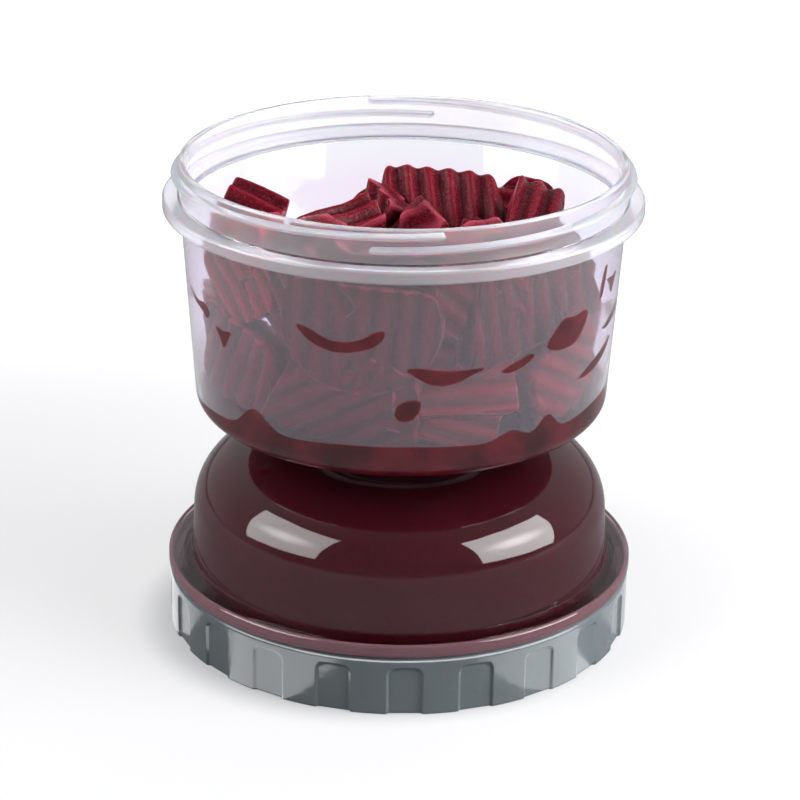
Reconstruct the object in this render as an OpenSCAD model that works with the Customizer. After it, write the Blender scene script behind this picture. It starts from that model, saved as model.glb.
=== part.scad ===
// Hourglass pickle jar: a deep draining bowl screwed to a squat brine cup, standing on the cup's screw lid

/* [Mouths] */
// Outside diameter of each cup's threaded rim
rim_d = 121; // [100:0.5:140]
// Length of the threaded rim beyond its flange
rim_len = 9.45; // [9:0.05:14]
// Wall thickness of the threaded rim
rim_wall = 1.9; // [1.5:0.1:2.5]
// Rounding of the mouth's edges
rim_round = 0.6; // [0.3:0.1:0.7]
// Thickness of the flange between the thread and the cup
flange_t = 3.7; // [2.5:0.1:5]
// Rounding of the flange's edges
flange_round = 0.9; // [0.4:0.1:1.2]

/* [Rim thread] */
// Advance of the lid in one turn
thread_lead = 7.2; // [6.6:0.1:8]
// Number of separate ridges around the rim
thread_starts = 2; // [2]
// Angle that each ridge runs around the rim
thread_sweep = 198; // [150:1:220]
// Height of a ridge above the rim
ridge_h = 2.1; // [1.5:0.1:2.5]
// Width of a ridge at its root
ridge_w = 2.2; // [1.8:0.1:2.4]
// Width of a ridge at its tip
ridge_tip_w = 1.2; // [0.8:0.1:1.5]
// Distance from the mouth to the middle of a ridge's upper end
ridge_drop = 1.6; // [1.3:0.1:2.5]
// Direction in which the first ridge's lower end lies
ridge_turn = 82; // [0:1:360]

/* [Upper cup] */
// Outside height of the bowl below its flange
bowl_depth = 57.4; // [40:0.1:90]
// Draft angle of the bowl's wall
bowl_draft = 3.85; // [1:0.05:6]
// How far the bowl's wall stands inside the rim's outside
bowl_inset = 0.3; // [0:0.1:2]
// Outside radius between the bowl's wall and floor
bowl_fillet = 6; // [4:0.5:12]
// Slope of the bowl's floor towards the waist
floor_slope = 2; // [0:0.5:4]
// Wall thickness of both cups
cup_wall = 1.6; // [1.2:0.1:2.5]

/* [Lower cup] */
// Outside height of the cup above its flange
cup_depth = 32.65; // [28:0.05:60]
// Draft angle of the cup's wall
cup_draft = 3.4; // [1:0.1:6]
// How far the cup's wall stands inside the rim's outside
cup_inset = 2; // [0:0.1:4]
// Radius of the shoulder where it leaves the wall
shoulder_r = 17; // [10:0.5:20]
// Radius of the shoulder where it meets the flat crown
crown_r = 27; // [20:0.5:30]

/* [Waist] */
// Outside diameter of the lower cup's neck
neck_d = 44; // [36:0.5:60]
// Wall thickness of the neck
neck_wall = 2.4; // [1.8:0.1:3]
// Height of the neck above the lower cup's crown
neck_len = 6.2; // [5.8:0.1:9]
// Wall thickness of the upper cup's threaded collar
collar_wall = 2; // [1.5:0.1:3]
// Gap between the collar and the crown below it
collar_gap = 0.5; // [0.3:0.1:0.8]
// Advance of the upper cup in one turn
waist_lead = 6; // [5.6:0.1:7]
// Angle that each ridge runs around the neck
waist_sweep = 190; // [150:1:200]
// Height of a ridge above the neck
waist_ridge_h = 1.4; // [1:0.1:1.8]
// Width of a ridge at its root
waist_ridge_w = 1.7; // [1.4:0.1:1.9]
// Width of a ridge at its tip
waist_tip_w = 0.9; // [0.6:0.1:1.2]
// Distance from the neck's top to the middle of a ridge's upper end
waist_drop = 1.3; // [1:0.1:1.5]

/* [Strainer] */
// Thickness of the perforated disc
strainer_t = 1.4; // [1:0.1:3]
// Diameter of one drain hole
drain_d = 3.3; // [2:0.1:4]
// Spacing of the rings of drain holes
drain_pitch = 4.3; // [4:0.1:6]

/* [Seals] */
// Thickness of the sealing ring in the lid
lid_seal_t = 1.8; // [1:0.1:3]
// Thickness of the washer under the strainer
strainer_seal_t = 0.8; // [0.5:0.1:1.5]
// Thickness of the washer over the strainer
waist_seal_t = 1; // [0.5:0.1:1.5]

/* [Lid] */
// Height of the lid's panel above the table
panel_lift = 4; // [1:0.1:8]
// Thickness of the lid's panel
panel_t = 1.6; // [1:0.1:3]
// Thickness of the lid's skirt
lid_wall = 1.7; // [1.5:0.1:3]
// Width of the ring that the lid stands on
foot_w = 3.3; // [2:0.1:6]
// Rounding of the skirt's outer edge below the flange
lid_round = 1.1; // [0.5:0.1:1.3]
// Rounding of the foot's outer edge
foot_round = 0.6; // [0.3:0.1:1]
// Thickness of the bead that keeps the seal in place
bead_t = 1.5; // [1:0.1:3]
// How far the bead stays below the seal's top
bead_drop = 0.6; // [0.3:0.1:0.8]
// Number of finger grips around the skirt
grip_count = 21; // [12:1:24]
// Direction of the first grip, from the middle of the front
grip_turn = 1.8; // [-8:0.1:8]
// Width of one grip
grip_w = 10; // [6:0.1:12]
// Distance from the skirt's upper edge to a grip
grip_margin = 2.4; // [2:0.1:6]
// Rounding of a grip's upper corners
grip_corner = 2.5; // [1:0.1:4]
// Depth of one grip
grip_depth = 0.75; // [0.3:0.05:0.8]

/* [Clearances] */
// Radial gap between a ridge and the wall that it faces
thread_gap = 0.4; // [0.3:0.05:0.6]
// Gap along the axis between the flanks of two mating ridges
flank_gap = 0.35; // [0.3:0.05:0.45]
// Gap between the lid's upper edge and the flange
lid_gap = 0.45; // [0.3:0.05:1]
// How far the lid stands inside the flange
lid_inset = 0.3; // [0:0.05:1]
// Radial gap on each side of a seal
seal_gap = 0.3; // [0.2:0.05:0.5]

/* [Hidden] */
$fn = 96;
arc_steps = 10;
ridge_step = 6;
ridge_fade = 9;
sink = 0.5;
over = 1;

// Radii of the mouths, the flange and the lid
rim_r = rim_d / 2;
rim_in_r = rim_r - rim_wall;
ridge_tip_r = rim_r + ridge_h;
lid_in_r = ridge_tip_r + thread_gap;
lid_r = lid_in_r + lid_wall;
flange_r = lid_r + lid_inset;
bead_r = rim_in_r - thread_gap;

// Heights from the table up to the lower cup's neck
panel_z = panel_lift + panel_t;
lower_mouth_z = panel_z + lid_seal_t;
lower_flange_z = lower_mouth_z + rim_len;
lid_top_z = lower_flange_z - lid_gap;
cup_base_z = lower_flange_z + flange_t;
crown_z = cup_base_z + cup_depth;
neck_top_z = crown_z + neck_len;

// Radii at the waist
neck_r = neck_d / 2;
bore_r = neck_r - neck_wall;
waist_tip_r = neck_r + waist_ridge_h;
collar_in_r = waist_tip_r + thread_gap;
collar_r = collar_in_r + collar_wall;

// Heights of the pieces that are clamped in the waist
strainer_z = neck_top_z + strainer_seal_t;
waist_seal_z = strainer_z + strainer_t;
seat_z = waist_seal_z + waist_seal_t;
collar_z = crown_z + collar_gap;

// Lower cup: centres of the two arcs of its shoulder, which meet at the break angle
break_a = 45;
cup_top_r = rim_r - cup_inset;
shoulder_step = (crown_r - shoulder_r) * cos(break_a);
shoulder_cz = crown_z - crown_r + shoulder_step;
shoulder_cr = cup_top_r - (shoulder_cz - cup_base_z) * tan(cup_draft) - shoulder_r / cos(cup_draft);
crown_cr = shoulder_cr - shoulder_step;
crown_cz = crown_z - crown_r;

// Upper cup: centre of its floor's fillet and the heights above the waist
bowl_top_r = rim_r - bowl_inset;
fillet_cr = bowl_top_r - (bowl_depth - bowl_fillet) * tan(bowl_draft) - bowl_fillet / cos(bowl_draft);
floor_r = fillet_cr + bowl_fillet * sin(floor_slope);
fillet_cz = seat_z + (floor_r - collar_r) * tan(floor_slope) + bowl_fillet * cos(floor_slope);
upper_flange_z = fillet_cz - bowl_fillet + bowl_depth;
upper_rim_z = upper_flange_z + flange_t;
mouth_z = upper_rim_z + rim_len;

// Points along an arc in the plane of radius and height
function arc(cr, cz, r, a0, a1) =
    [for (i = [0 : arc_steps]) let (a = a0 + (a1 - a0) * i / arc_steps) [cr + r * cos(a), cz + r * sin(a)]];

// Outline of a flange's round edge between two heights
function flange_edge(z0, z1) = concat(
    arc(flange_r - flange_round, z0 + flange_round, flange_round, -90, 0),
    arc(flange_r - flange_round, z1 - flange_round, flange_round, 0, 90));

// Height of the bowl's inner floor at a radius
function floor_in_z(r) =
    fillet_cz - (bowl_fillet - cup_wall) * cos(floor_slope) - (floor_r - r) * tan(floor_slope);

// Four corners of a ridge's section at one angle, from its sunken root out to its tip
function ridge_ring(a, z, root_r, tip_r, root_w, tip_w) = [
    for (c = [[root_r, -root_w], [tip_r, -tip_w], [tip_r, tip_w], [root_r, root_w]])
        [c[0] * cos(a), c[0] * sin(a), z + c[1] / 2]];

// Ridges of a right-handed thread below a mouth at height zero, which fade into the wall at both ends
module ridges(root_r, tip_r, root_w, tip_w, lead, sweep, drop, turn) {
    steps = ceil(sweep / ridge_step);
    side = sign(tip_r - root_r);
    sunk_r = root_r - side * sink;
    sunk_w = root_w + (root_w - tip_w) * sink / abs(tip_r - root_r);
    rings = [
        for (i = [0 : steps])
            let (
                a = sweep * i / steps,
                fade = min(1, a / ridge_fade, (sweep - a) / ridge_fade),
                low_r = root_r - side * sink / 2,
                top_r = low_r + (tip_r - low_r) * sin(90 * fade))
            each ridge_ring(a, lead * (a - sweep) / 360 - drop, sunk_r, top_r, sunk_w, tip_w)];
    sides = [
        for (i = [0 : steps - 1], k = [0 : 3])
            let (p = 4 * i + k, q = 4 * i + (k + 1) % 4)
            each side < 0 ? [[p, p + 4, q + 4], [p, q + 4, q]] : [[p, q + 4, p + 4], [p, q, q + 4]]];
    last = 4 * steps;
    ends = side < 0
        ? [[0, 1, 2], [0, 2, 3], [last, last + 2, last + 1], [last, last + 3, last + 2]]
        : [[0, 2, 1], [0, 3, 2], [last, last + 1, last + 2], [last, last + 2, last + 3]];
    for (s = [0 : thread_starts - 1])
        rotate([0, 0, turn + 360 * s / thread_starts])
            polyhedron(points = rings, faces = concat(sides, ends), convexity = 6);
}

// Width that is left for a mating ridge at a radius, between two ridges whose width there is w
function mate_w(lead, w) = lead / thread_starts - 2 * flank_gap - w;

// Width of a ridge at a radius, along its straight flanks
function flank_w(r, root_r, tip_r, root_w, tip_w) = root_w + (tip_w - root_w) * (r - root_r) / (tip_r - root_r);

// Thread outside a cup's rim, with the mouth at height zero
module rim_thread(turn) {
    ridges(rim_r, ridge_tip_r, ridge_w, ridge_tip_w, thread_lead, thread_sweep, ridge_drop, turn);
}

// Thread inside the lid, between the ridges of a rim that has its mouth at height zero
module lid_thread(turn) {
    tip_r = rim_r + thread_gap;
    root_w = mate_w(thread_lead, flank_w(lid_in_r, rim_r, ridge_tip_r, ridge_w, ridge_tip_w));
    tip_w = mate_w(thread_lead, flank_w(tip_r, rim_r, ridge_tip_r, ridge_w, ridge_tip_w));
    ridges(lid_in_r, tip_r, root_w, tip_w, thread_lead, thread_sweep, ridge_drop, turn + 180 / thread_starts);
}

// Thread outside the neck, with the neck's top at height zero
module neck_thread() {
    ridges(neck_r, waist_tip_r, waist_ridge_w, waist_tip_w, waist_lead, waist_sweep, waist_drop, 0);
}

// Thread inside the collar, between the ridges of a neck that has its top at height zero
module collar_thread() {
    tip_r = neck_r + thread_gap;
    root_w = mate_w(waist_lead, flank_w(collar_in_r, neck_r, waist_tip_r, waist_ridge_w, waist_tip_w));
    tip_w = mate_w(waist_lead, flank_w(tip_r, neck_r, waist_tip_r, waist_ridge_w, waist_tip_w));
    ridges(collar_in_r, tip_r, root_w, tip_w, waist_lead, waist_sweep, waist_drop, 180 / thread_starts);
}

// Flat ring between two radii
module ring(r_in, r_out, h) {
    difference() {
        cylinder(r = r_out, h = h);
        translate([0, 0, -over]) cylinder(r = r_in, h = h + 2 * over);
    }
}

// Finger grips around the lid's skirt, as the material that is taken away
module grip_cuts() {
    half = grip_w / 2;
    grip_top = lid_top_z - grip_margin;
    corner_z = grip_top - grip_corner;
    outline = concat(
        [[-half, -over], [half, -over]],
        arc(half - grip_corner, corner_z, grip_corner, 0, 90),
        arc(grip_corner - half, corner_z, grip_corner, 90, 180));
    difference() {
        for (i = [0 : grip_count - 1])
            rotate([0, 0, grip_turn - 90 + 360 * i / grip_count])
                translate([lid_r - grip_depth - over, 0, 0])
                    rotate([90, 0, 90])
                        linear_extrude(grip_depth + 2 * over) polygon(outline);
        translate([0, 0, -2 * over]) cylinder(r = lid_r - grip_depth, h = lid_top_z + 3 * over);
    }
}

// Screw lid: a skirt with finger grips outside and a thread inside, over a panel lifted off the table
module lower_lid() {
    foot_in_r = lid_r - foot_w;
    color([0.36, 0.38, 0.39]) {
        difference() {
            rotate_extrude() polygon(concat(
                [[0, panel_lift], [foot_in_r, panel_lift], [foot_in_r, 0]],
                arc(lid_r - foot_round, foot_round, foot_round, -90, 0),
                arc(lid_r - lid_round, lid_top_z - lid_round, lid_round, 0, 90),
                [[lid_in_r, lid_top_z], [lid_in_r, panel_z], [bead_r, panel_z]],
                [[bead_r, lower_mouth_z - bead_drop], [bead_r - bead_t, lower_mouth_z - bead_drop]],
                [[bead_r - bead_t, panel_z], [0, panel_z]]));
            grip_cuts();
        }
        translate([0, 0, lower_mouth_z]) rotate([180, 0, 0]) lid_thread(ridge_turn);
    }
}

// Sealing ring that the lower cup's mouth presses on
module lower_lid_seal() {
    color([0.86, 0.87, 0.88])
        translate([0, 0, panel_z]) ring(bead_r + seal_gap, lid_in_r - seal_gap, lid_seal_t);
}

// Squat cup for the brine: mouth down, a round shoulder and a threaded neck on top
module lower_cup() {
    inner_r = cup_top_r - cup_wall;
    color([0.83, 0.80, 0.83, 0.6]) {
        rotate_extrude() polygon(concat(
            arc(rim_in_r + rim_round, lower_mouth_z + rim_round, rim_round, 180, 270),
            arc(rim_r - rim_round, lower_mouth_z + rim_round, rim_round, -90, 0),
            [[rim_r, lower_flange_z]],
            flange_edge(lower_flange_z, cup_base_z),
            [[cup_top_r, cup_base_z]],
            arc(shoulder_cr, shoulder_cz, shoulder_r, cup_draft, break_a),
            arc(crown_cr, crown_cz, crown_r, break_a, 90),
            [[neck_r, crown_z], [neck_r, neck_top_z], [bore_r, neck_top_z], [bore_r, crown_z - cup_wall]],
            arc(crown_cr, crown_cz, crown_r - cup_wall, 90, break_a),
            arc(shoulder_cr, shoulder_cz, shoulder_r - cup_wall, break_a, cup_draft),
            [[inner_r, cup_base_z], [rim_in_r, lower_flange_z]]));
        translate([0, 0, lower_mouth_z]) rotate([180, 0, 0]) rim_thread(ridge_turn);
        translate([0, 0, neck_top_z]) neck_thread();
    }
}

// Washer between the neck's top and the strainer
module strainer_seal() {
    color([0.86, 0.87, 0.88])
        translate([0, 0, neck_top_z]) ring(bore_r + seal_gap, neck_r, strainer_seal_t);
}

// Perforated disc that holds the pickles back and lets the brine through
module strainer() {
    rings = floor((bore_r - drain_d / 2) / drain_pitch);
    color([0.90, 0.89, 0.90])
        translate([0, 0, strainer_z]) difference() {
            cylinder(r = neck_r, h = strainer_t);
            translate([0, 0, -over]) cylinder(d = drain_d, h = strainer_t + 2 * over, $fn = 24);
            for (k = [1 : rings], i = [0 : 6 * k - 1])
                rotate([0, 0, 60 * i / k])
                    translate([k * drain_pitch, 0, -over])
                        cylinder(d = drain_d, h = strainer_t + 2 * over, $fn = 24);
        }
}

// Washer between the strainer and the upper cup's floor
module waist_seal() {
    color([0.86, 0.87, 0.88])
        translate([0, 0, waist_seal_z]) ring(bore_r + seal_gap, neck_r, waist_seal_t);
}

// Deep draining bowl: mouth up, a sloping floor with a hole in the middle and a threaded collar under it
module upper_cup() {
    inner_r = bowl_top_r - cup_wall;
    color([0.83, 0.80, 0.83, 0.6]) {
        rotate_extrude() polygon(concat(
            [[collar_r, collar_z], [collar_r, seat_z]],
            arc(fillet_cr, fillet_cz, bowl_fillet, floor_slope - 90, -bowl_draft),
            [[bowl_top_r, upper_flange_z]],
            flange_edge(upper_flange_z, upper_rim_z),
            [[rim_r, upper_rim_z]],
            arc(rim_r - rim_round, mouth_z - rim_round, rim_round, 0, 90),
            arc(rim_in_r + rim_round, mouth_z - rim_round, rim_round, 90, 180),
            [[rim_in_r, upper_rim_z], [inner_r, upper_flange_z]],
            arc(fillet_cr, fillet_cz, bowl_fillet - cup_wall, -bowl_draft, floor_slope - 90),
            [[bore_r, floor_in_z(bore_r)], [bore_r, seat_z], [collar_in_r, seat_z], [collar_in_r, collar_z]]));
        translate([0, 0, mouth_z]) rim_thread(ridge_turn);
        translate([0, 0, neck_top_z]) collar_thread();
    }
}

lower_lid();
lower_lid_seal();
lower_cup();
strainer_seal();
strainer();
waist_seal();
upper_cup();
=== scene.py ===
import math

import bpy
import numpy as np
from mathutils import Matrix, Quaternion, Vector


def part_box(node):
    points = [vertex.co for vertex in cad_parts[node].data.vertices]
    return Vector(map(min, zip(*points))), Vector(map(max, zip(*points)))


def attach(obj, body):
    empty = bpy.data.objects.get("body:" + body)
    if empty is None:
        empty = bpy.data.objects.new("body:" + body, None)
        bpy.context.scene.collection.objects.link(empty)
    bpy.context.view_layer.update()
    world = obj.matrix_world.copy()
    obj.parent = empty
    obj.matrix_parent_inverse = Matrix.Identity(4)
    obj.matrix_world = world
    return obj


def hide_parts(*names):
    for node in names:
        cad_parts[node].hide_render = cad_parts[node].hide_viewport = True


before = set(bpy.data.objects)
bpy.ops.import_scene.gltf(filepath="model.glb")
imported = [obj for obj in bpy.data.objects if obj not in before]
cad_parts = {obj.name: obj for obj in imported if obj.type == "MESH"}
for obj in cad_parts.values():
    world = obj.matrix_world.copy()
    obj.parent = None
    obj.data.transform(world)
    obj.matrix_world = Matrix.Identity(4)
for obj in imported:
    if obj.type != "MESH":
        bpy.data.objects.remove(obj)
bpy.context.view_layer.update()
scene = bpy.context.scene
scene.view_settings.view_transform = "Standard"

# Camera
# A long lens a little above the bowl's mouth, looking down into it from the front.
# The picture is turned a touch clockwise, as if the tripod's head were not quite level.
camera_data = bpy.data.cameras.new("camera")
camera_data.lens = 126.1
camera_data.shift_x = -0.00125
camera = bpy.data.objects.new("camera", camera_data)
camera.location = (0, -0.7196, 0.3594)
camera_aim = Vector((0, 0, 0.0637)) - camera.location
camera_roll = Quaternion((0, 0, 1), math.radians(0.773))
camera.rotation_mode = "QUATERNION"
camera.rotation_quaternion = camera_aim.to_track_quat("-Z", "Y") @ camera_roll
scene.collection.objects.link(camera)
scene.camera = camera


# Table and studio
# A white sweep under the jar, a wide soft light over and behind it, and a soft box at each side.
# The room on the camera's side is left dim, so that clear walls keep a thin grey line at their edges.
def linear(code):
    """An sRGB hex code as a linear colour with full alpha."""
    parts = [int(code[i:i + 2], 16) / 255 for i in (1, 3, 5)]
    return [c / 12.92 if c <= 0.04045 else ((c + 0.055) / 1.055) ** 2.4 for c in parts] + [1.0]


def add(tree, kind, inputs, **settings):
    """Adds one node, with constants or linked sockets for its inputs and its own settings."""
    node = tree.nodes.new("ShaderNode" + kind)
    for name, value in settings.items():
        setattr(node, name, value)
    for name, value in inputs.items():
        if isinstance(value, bpy.types.NodeSocket):
            tree.links.new(value, node.inputs[name])
        else:
            node.inputs[name].default_value = value
    return node


def new_material(name):
    """An empty node material and its tree."""
    material = bpy.data.materials.new(name)
    material.use_nodes = True
    material.node_tree.nodes.clear()
    return material, material.node_tree


floor_half = 3.0
floor_mesh = bpy.data.meshes.new("table")
floor_corners = [(-1, -1), (1, -1), (1, 1), (-1, 1)]
floor_mesh.from_pydata([(x * floor_half, y * floor_half, 0) for x, y in floor_corners], [], [(0, 1, 2, 3)])
table = bpy.data.objects.new("table", floor_mesh)
scene.collection.objects.link(table)

# White laminate, wiped matt. Its paint is kept mid grey, so that it takes the jar's soft shadow, and a glow
# lifts it to white where it is seen, less so around a point at the jar's left, which paints a broad shadow
# there.
white_laminate, tree = new_material("white_laminate_matt")
shadow_middle = (-0.1, 0.0, 0.0)
contact_middle = (-0.006, -0.003, 0.0)
glow_through_plastic = 0.83
path = add(tree, "LightPath", {})
seen = add(tree, "Math", {0: path.outputs["Is Transmission Ray"], 1: glow_through_plastic,
                          2: path.outputs["Is Camera Ray"]}, operation="MULTIPLY_ADD")
place = add(tree, "NewGeometry", {})
away = add(tree, "VectorMath", {0: place.outputs["Position"], 1: shadow_middle}, operation="DISTANCE")
rise = add(tree, "MapRange", {"Value": away.outputs["Value"], "From Min": 0.12, "From Max": 0.38,
                              "To Min": 0.53, "To Max": 0.95}, interpolation_type="SMOOTHSTEP")
# A painted contact shadow: right beside the lid, on the side away from the stronger lamp, the glow is held
# down.
beside = add(tree, "VectorMath", {0: place.outputs["Position"], 1: contact_middle}, operation="DISTANCE")
touch = add(tree, "MapRange", {"Value": beside.outputs["Value"], "From Min": 0.057, "From Max": 0.071,
                               "To Min": 0.5, "To Max": 1.0}, interpolation_type="SMOOTHSTEP")
held = add(tree, "Math", {0: rise.outputs["Result"], 1: touch.outputs["Result"]}, operation="MULTIPLY")
lift = add(tree, "Math", {0: seen.outputs[0], 1: held.outputs[0]}, operation="MULTIPLY")
paint = add(tree, "BsdfDiffuse", {"Color": linear("#8C8C8E")})
glow = add(tree, "Emission", {"Color": linear("#FFFFFF"), "Strength": lift.outputs[0]})
both = add(tree, "AddShader", {0: paint.outputs[0], 1: glow.outputs[0]})
add(tree, "OutputMaterial", {"Surface": both.outputs[0]})
table.data.materials.append(white_laminate)

# The room: white where it is seen, dim towards the camera and bright behind the jar for everything else, and
# brighter through the clear plastic.
room = bpy.data.worlds.new("studio")
room.use_nodes = True
tree = room.node_tree
tree.nodes.clear()
path = add(tree, "LightPath", {})
place = add(tree, "TexCoord", {})
axes = add(tree, "SeparateXYZ", {"Vector": place.outputs["Generated"]})
depth = add(tree, "MapRange", {"Value": axes.outputs["Y"], "From Min": -0.5, "From Max": 0.5,
                               "To Min": 0.17, "To Max": 0.5})
through = add(tree, "Math", {0: path.outputs["Is Transmission Ray"], 1: 0.8, 2: 1.0},
              operation="MULTIPLY_ADD")
level = add(tree, "Math", {0: depth.outputs["Result"], 1: through.outputs[0]}, operation="MULTIPLY")
light = add(tree, "Background", {"Color": linear("#F7F8FA"), "Strength": level.outputs[0]})
white = add(tree, "Background", {"Color": linear("#FFFFFF"), "Strength": 1.0})
mixed = add(tree, "MixShader", {0: path.outputs["Is Camera Ray"], 1: light.outputs[0], 2: white.outputs[0]})
add(tree, "OutputWorld", {"Surface": mixed.outputs[0]})
scene.world = room


def soft_light(name, place, target, along, size, power):
    """A rectangular soft box that faces a target, with its long side along a direction."""
    data = bpy.data.lights.new(name, "AREA")
    data.shape = "RECTANGLE"
    data.size, data.size_y = size
    data.energy = power
    lamp = bpy.data.objects.new(name, data)
    lamp.location = place
    back = (Vector(place) - Vector(target)).normalized()
    upright = back.cross(Vector(along)).normalized()
    lamp.rotation_mode = "QUATERNION"
    lamp.rotation_quaternion = Matrix((upright.cross(back), upright, back)).transposed().to_quaternion()
    scene.collection.objects.link(lamp)
    return lamp


jar_middle = Vector((0, 0, 0.06))
overhead_spot = (0.05, 0.45, 1.15)
overhead_size = (1.5, 0.9)
overhead_power = 3.0
soft_light("overhead", overhead_spot, jar_middle, (1, 0, 0), overhead_size, overhead_power)
box_out = 0.82
box_front = -0.29
box_size = (0.85, 0.75)
core_shape = (1.0, 2.0, 0.0)
# Each box: its side, name and power, and its height over the jar's middle.
for side, name, power, height in ((-1, "left", 14.0, 0.49), (1, "right", 21.0, 0.42)):
    spot = jar_middle + Vector((side * box_out, box_front, height))
    long_side = (side * -0.41, -0.91, 0.15)
    box = soft_light(name + "_box", spot, jar_middle, long_side, box_size, power)
    # The tube inside each box shows as a brighter core, which fades towards the edges of its cloth.
    box.data.use_nodes = True
    tree = box.data.node_tree
    tree.nodes.clear()
    place = add(tree, "NewGeometry", {})
    off = add(tree, "VectorMath", {0: place.outputs["Parametric"], 1: (0.5, 0.5, 0.0)}, operation="SUBTRACT")
    narrow = add(tree, "VectorMath", {0: off.outputs["Vector"], 1: core_shape}, operation="MULTIPLY")
    away = add(tree, "VectorMath", {0: narrow.outputs["Vector"]}, operation="LENGTH")
    core = add(tree, "MapRange", {"Value": away.outputs["Value"], "From Max": 0.5,
                                  "To Min": 1.7, "To Max": 0.82}, interpolation_type="SMOOTHSTEP")
    cloth = add(tree, "Emission", {"Color": linear("#FFFFFF"), "Strength": core.outputs["Result"]})
    add(tree, "OutputLight", {"Surface": cloth.outputs[0]})

# Lid
# The screw lid that the jar stands on: a skirt with 21 finger grips and a thread inside it,
# over a panel lifted off the table. Injection moulded in grey polypropylene, glossy outside.
mm = 0.001
lid_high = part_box("lower_lid")[1]
lid_r = lid_high.x / mm
lid_top = lid_high.z / mm
lid_wall = 1.7
lid_in_r = lid_r - lid_wall
lid_round = 1.1
foot_round = 0.6
foot_width = 3.3
foot_in_r = lid_r - foot_width
panel_low = 4.0
panel_top = 5.6
bead_out_r = 58.2
bead_in_r = 56.7
bead_top = 6.8
grip_count = 21
grip_half = 5.0
grip_depth = 0.75
grip_top = lid_top - 2.4
grip_corner = 2.5
grip_edge = 0.8
grip_turn = 1.8
grip_clear = 1.0
panel_chamfer = 0.5
small_edge = 0.3
sharp_edge = math.radians(32)
round_steps = 288


def arc(centre_r, centre_z, r, start, end, steps=8):
    """Points along an arc in the plane of radius and height, with its angles in degrees."""
    turns = np.radians(np.linspace(start, end, steps + 1))
    return [(centre_r + r * math.cos(t), centre_z + r * math.sin(t)) for t in turns]


def new_piece(name, points, faces, materials, slots=None):
    """A smooth mesh object from points in millimetres, linked to the scene."""
    mesh = bpy.data.meshes.new(name)
    mesh.from_pydata((np.asarray(points) * mm).tolist(), [], faces)
    for material in materials:
        mesh.materials.append(material)
    if slots is not None:
        mesh.polygons.foreach_set("material_index", slots)
    mesh.shade_smooth()
    piece = bpy.data.objects.new(name, mesh)
    scene.collection.objects.link(piece)
    return piece


def turned(name, runs, materials, angles=None, shape=None):
    """Turns a closed outline about the axis. Each run is a material slot and the points that it covers;
    shape, if there is one, gives the radii and heights around the axis for a point of the outline."""
    if angles is None:
        angles = np.linspace(0, 2 * math.pi, round_steps, endpoint=False)
    outline = [(slot, point) for slot, points in runs for point in points]
    points, rings = [], []
    for slot, (r, z) in outline:
        first = len(points)
        if r == 0:
            points.append((0, 0, z))
            rings.append([first] * (len(angles) + 1))
            continue
        radii, heights = (np.full(len(angles), x) for x in (r, z))
        if shape is not None:
            radii, heights = shape(angles, radii, heights)
        points.extend(zip(radii * np.cos(angles), radii * np.sin(angles), heights))
        rings.append([*range(first, len(points)), first])
    faces, slots = [], []
    for i, (slot, point) in enumerate(outline):
        low, high = rings[i], rings[(i + 1) % len(rings)]
        for k in range(len(angles)):
            corners = list(dict.fromkeys([low[k], low[k + 1], high[k + 1], high[k]]))
            if len(corners) > 2:
                faces.append(corners)
                slots.append(slot)
    return new_piece(name, points, faces, materials, slots)


def skin(loops, size):
    """Faces over a row of closed loops of points, with a cap at each end."""
    faces = [[i * size + k, (i + 1) * size + k, (i + 1) * size + (k + 1) % size, i * size + (k + 1) % size]
             for i in range(loops - 1) for k in range(size)]
    return faces + [list(range(size)), list(range((loops - 1) * size, loops * size))[::-1]]


def ridge(root_r, tip_r, widths, lead, sweep, drop, turn, mouth, flip, materials):
    """One ridge of a right-hand thread, as a bar with round ends sunk into its wall, with its widths at root
    and tip. It lies below a mouth at that height, or above it where the mouth is turned down, and takes the
    last of the materials."""
    root_w, tip_w = widths
    sunk = 0.5
    step = 1.5
    end_height = 0.4
    sunk_r = root_r - math.copysign(sunk, tip_r - root_r)
    end = root_w / 2 / min(root_r, tip_r) * 180 / math.pi
    ends = end * (1 - np.cos(np.linspace(0, math.pi / 2, 7)))
    turns = np.concatenate([ends, np.arange(step, sweep - 1, step), sweep - ends[::-1]])
    section = [(0, -1.1), (0.55, -0.85), (0.86, -0.7), (0.97, -0.45), (1, 0),
               (0.97, 0.45), (0.86, 0.7), (0.55, 0.85), (0, 1.1)]
    points = []
    for a in turns:
        near = min(a, sweep - a) / end
        full = 1 if near >= 1 else math.sqrt(1 - (1 - max(near, 0.02)) ** 2)
        z = lead * (a - sweep) / 360 - drop
        for out, across in section:
            r = sunk_r + (tip_r - sunk_r) * out * (end_height + (1 - end_height) * full)
            half = (root_w + (tip_w - root_w) * out) / 2 * full
            t = math.radians(a + turn)
            points.append((r * math.cos(t), r * math.sin(t), z + half * across))
    faces = skin(len(turns), len(section))
    if tip_r < root_r:
        faces = [face[::-1] for face in faces]
    flips = -1 if flip else 1
    points = [(x, flips * y, flips * z + mouth) for x, y, z in points]
    return new_piece("ridge", points, faces, materials, [len(materials) - 1] * len(faces))


def fuse(piece, extras):
    """Joins other solids into a piece, and keeps its sharp edges crisp."""
    for extra in extras:
        joint = piece.modifiers.new("fuse", "BOOLEAN")
        joint.operation = "UNION"
        joint.solver = "MANIFOLD"
        joint.object = extra
    whole = bpy.data.meshes.new_from_object(piece.evaluated_get(bpy.context.evaluated_depsgraph_get()))
    piece.modifiers.clear()
    piece.data = whole
    for extra in extras:
        bpy.data.objects.remove(extra)
    whole.shade_smooth()
    whole.set_sharp_from_angle(angle=sharp_edge)


def smooth_step(value):
    """An even step from nought to one."""
    held = np.clip(value, 0, 1)
    return held * held * (3 - 2 * held)


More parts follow.
